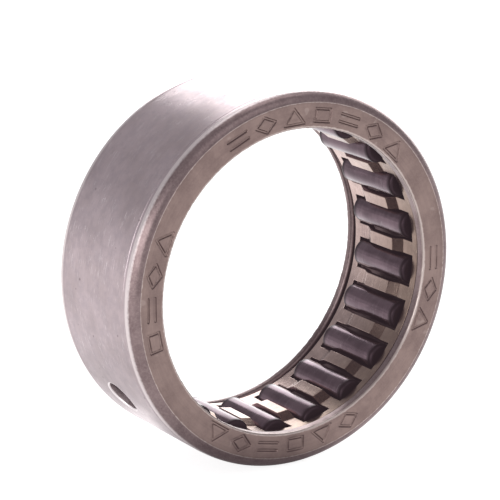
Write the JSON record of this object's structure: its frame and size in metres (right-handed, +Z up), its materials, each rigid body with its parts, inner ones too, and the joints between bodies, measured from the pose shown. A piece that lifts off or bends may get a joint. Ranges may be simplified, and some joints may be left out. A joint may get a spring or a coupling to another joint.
{
  "type": "needle roller bearing",
  "caption": "Drawn steel cup open at both ends, with a pressed cage of needle rollers that run directly on a shaft and an oil hole in the cup's wall.",
  "frame": {"origin": "middle of the bearing, on its axis, halfway between the two end faces", "axes": "+Y along the bearing's axis towards the rear lip; the stamped front face looks along -Y; +Z up as it stands on its outside"},
  "size_m": [0.032, 0.012, 0.032],
  "materials": {
    "cup_steel": "satin drawn steel, lightly ground outside, grey with a warm tint",
    "cage_steel": "pressed strip steel, light warm grey, dull satin",
    "roller_steel": "hardened steel, finely ground and polished, dark"
  },
  "bodies": {
    "cup": {"cup": "cup_steel"},
    "cage": {"cage": "cage_steel"},
    "roller_01": {"roller_01": "roller_steel"},
    "roller_02": {"roller_02": "roller_steel"},
    "roller_03": {"roller_03": "roller_steel"},
    "roller_04": {"roller_04": "roller_steel"},
    "roller_05": {"roller_05": "roller_steel"},
    "roller_06": {"roller_06": "roller_steel"},
    "roller_07": {"roller_07": "roller_steel"},
    "roller_08": {"roller_08": "roller_steel"},
    "roller_09": {"roller_09": "roller_steel"},
    "roller_10": {"roller_10": "roller_steel"},
    "roller_11": {"roller_11": "roller_steel"},
    "roller_12": {"roller_12": "roller_steel"},
    "roller_13": {"roller_13": "roller_steel"},
    "roller_14": {"roller_14": "roller_steel"},
    "roller_15": {"roller_15": "roller_steel"},
    "roller_16": {"roller_16": "roller_steel"},
    "roller_17": {"roller_17": "roller_steel"},
    "roller_18": {"roller_18": "roller_steel"},
    "roller_19": {"roller_19": "roller_steel"},
    "roller_20": {"roller_20": "roller_steel"},
    "roller_21": {"roller_21": "roller_steel"}
  },
  "joints": [
    {"name": "cage_spin", "type": "hinge", "parent": "cup", "child": "cage", "pos_m": [0, 0, 0], "axis": [0, 1, 0], "continuous": true},
    {"name": "roller_01_spin", "type": "hinge", "parent": "cage", "child": "roller_01", "pos_m": [0.01355, -0.0002, 0.00244], "axis": [0, 1, 0], "continuous": true},
    {"name": "roller_02_spin", "type": "hinge", "parent": "cage", "child": "roller_02", "pos_m": [0.01223, -0.0002, 0.00632], "axis": [0, 1, 0], "continuous": true},
    {"name": "roller_03_spin", "type": "hinge", "parent": "cage", "child": "roller_03", "pos_m": [0.00982, -0.0002, 0.00965], "axis": [0, 1, 0], "continuous": true},
    {"name": "roller_04_spin", "type": "hinge", "parent": "cage", "child": "roller_04", "pos_m": [0.00654, -0.0002, 0.01211], "axis": [0, 1, 0], "continuous": true},
    {"name": "roller_05_spin", "type": "hinge", "parent": "cage", "child": "roller_05", "pos_m": [0.00268, -0.0002, 0.0135], "axis": [0, 1, 0], "continuous": true},
    {"name": "roller_06_spin", "type": "hinge", "parent": "cage", "child": "roller_06", "pos_m": [-0.00142, -0.0002, 0.01369], "axis": [0, 1, 0], "continuous": true},
    {"name": "roller_07_spin", "type": "hinge", "parent": "cage", "child": "roller_07", "pos_m": [-0.00539, -0.0002, 0.01267], "axis": [0, 1, 0], "continuous": true},
    {"name": "roller_08_spin", "type": "hinge", "parent": "cage", "child": "roller_08", "pos_m": [-0.00888, -0.0002, 0.01051], "axis": [0, 1, 0], "continuous": true},
    {"name": "roller_09_spin", "type": "hinge", "parent": "cage", "child": "roller_09", "pos_m": [-0.01159, -0.0002, 0.00743], "axis": [0, 1, 0], "continuous": true},
    {"name": "roller_10_spin", "type": "hinge", "parent": "cage", "child": "roller_10", "pos_m": [-0.01326, -0.0002, 0.00368], "axis": [0, 1, 0], "continuous": true},
    {"name": "roller_11_spin", "type": "hinge", "parent": "cage", "child": "roller_11", "pos_m": [-0.01376, -0.0002, -0.00039], "axis": [0, 1, 0], "continuous": true},
    {"name": "roller_12_spin", "type": "hinge", "parent": "cage", "child": "roller_12", "pos_m": [-0.01303, -0.0002, -0.00443], "axis": [0, 1, 0], "continuous": true},
    {"name": "roller_13_spin", "type": "hinge", "parent": "cage", "child": "roller_13", "pos_m": [-0.01115, -0.0002, -0.00807], "axis": [0, 1, 0], "continuous": true},
    {"name": "roller_14_spin", "type": "hinge", "parent": "cage", "child": "roller_14", "pos_m": [-0.00827, -0.0002, -0.011], "axis": [0, 1, 0], "continuous": true},
    {"name": "roller_15_spin", "type": "hinge", "parent": "cage", "child": "roller_15", "pos_m": [-0.00466, -0.0002, -0.01295], "axis": [0, 1, 0], "continuous": true},
    {"name": "roller_16_spin", "type": "hinge", "parent": "cage", "child": "roller_16", "pos_m": [-0.00064, -0.0002, -0.01375], "axis": [0, 1, 0], "continuous": true},
    {"name": "roller_17_spin", "type": "hinge", "parent": "cage", "child": "roller_17", "pos_m": [0.00344, -0.0002, -0.01333], "axis": [0, 1, 0], "continuous": true},
    {"name": "roller_18_spin", "type": "hinge", "parent": "cage", "child": "roller_18", "pos_m": [0.00722, -0.0002, -0.01172], "axis": [0, 1, 0], "continuous": true},
    {"name": "roller_19_spin", "type": "hinge", "parent": "cage", "child": "roller_19", "pos_m": [0.01035, -0.0002, -0.00907], "axis": [0, 1, 0], "continuous": true},
    {"name": "roller_20_spin", "type": "hinge", "parent": "cage", "child": "roller_20", "pos_m": [0.01257, -0.0002, -0.00562], "axis": [0, 1, 0], "continuous": true},
    {"name": "roller_21_spin", "type": "hinge", "parent": "cage", "child": "roller_21", "pos_m": [0.01366, -0.0002, -0.00166], "axis": [0, 1, 0], "continuous": true}
  ],
  "couplings": [
    {"joint": "roller_01_spin", "follows": "cage_spin", "ratio": -12.012},
    {"joint": "roller_02_spin", "follows": "cage_spin", "ratio": -12.012},
    {"joint": "roller_03_spin", "follows": "cage_spin", "ratio": -12.012},
    {"joint": "roller_04_spin", "follows": "cage_spin", "ratio": -12.012},
    {"joint": "roller_05_spin", "follows": "cage_spin", "ratio": -12.012},
    {"joint": "roller_06_spin", "follows": "cage_spin", "ratio": -12.012},
    {"joint": "roller_07_spin", "follows": "cage_spin", "ratio": -12.012},
    {"joint": "roller_08_spin", "follows": "cage_spin", "ratio": -12.012},
    {"joint": "roller_09_spin", "follows": "cage_spin", "ratio": -12.012},
    {"joint": "roller_10_spin", "follows": "cage_spin", "ratio": -12.012},
    {"joint": "roller_11_spin", "follows": "cage_spin", "ratio": -12.012},
    {"joint": "roller_12_spin", "follows": "cage_spin", "ratio": -12.012},
    {"joint": "roller_13_spin", "follows": "cage_spin", "ratio": -12.012},
    {"joint": "roller_14_spin", "follows": "cage_spin", "ratio": -12.012},
    {"joint": "roller_15_spin", "follows": "cage_spin", "ratio": -12.012},
    {"joint": "roller_16_spin", "follows": "cage_spin", "ratio": -12.012},
    {"joint": "roller_17_spin", "follows": "cage_spin", "ratio": -12.012},
    {"joint": "roller_18_spin", "follows": "cage_spin", "ratio": -12.012},
    {"joint": "roller_19_spin", "follows": "cage_spin", "ratio": -12.012},
    {"joint": "roller_20_spin", "follows": "cage_spin", "ratio": -12.012},
    {"joint": "roller_21_spin", "follows": "cage_spin", "ratio": -12.012}
  ]
}
